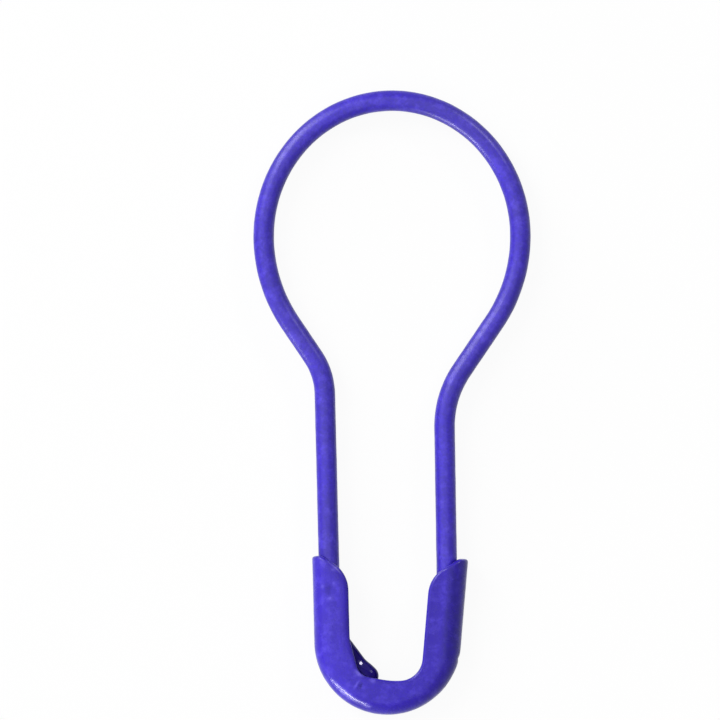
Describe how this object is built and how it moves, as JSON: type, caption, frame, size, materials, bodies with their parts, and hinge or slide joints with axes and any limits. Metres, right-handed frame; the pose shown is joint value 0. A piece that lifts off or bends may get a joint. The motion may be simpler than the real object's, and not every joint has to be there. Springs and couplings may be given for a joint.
{
  "type": "stitch marker",
  "caption": "Bulb-shaped coilless safety pin: a pear-shaped spring wire loop whose pointed arm latches into a small folded sheet cap.",
  "frame": {"origin": "middle of the bounding box, in the plane of the cap's back wall", "axes": "+X across the loop towards the pin arm, +Y along the pin from the cap to the crown, +Z from the cap's back wall to its front wall"},
  "size_m": [0.0094, 0.0214, 0.0012],
  "materials": {
    "cap_lacquer": "gloss violet-blue lacquer on thin sheet steel",
    "wire_lacquer": "gloss violet-blue lacquer on spring steel wire"
  },
  "bodies": {
    "base": {"cap": "cap_lacquer", "fixed_wire": "wire_lacquer"},
    "spring_side": {"spring_wire": "wire_lacquer"},
    "pin": {"pin_arm": "wire_lacquer"}
  },
  "joints": [
    {"name": "crown_flex", "type": "hinge", "parent": "base", "child": "spring_side", "pos_m": [0, 0.01038, 0.00059], "axis": [0, 0, 1], "range_deg": [0, 12], "stiffness_Nm_per_rad": 0.08},
    {"name": "arm_step", "type": "hinge", "parent": "spring_side", "child": "pin", "pos_m": [0.00181, -0.00123, 0.00059], "axis": [0.0151, -0.9612, -0.2755], "range_deg": [0, 360]}
  ],
  "couplings": [
    {"joint": "arm_step", "follows": "crown_flex", "ratio": 30}
  ]
}
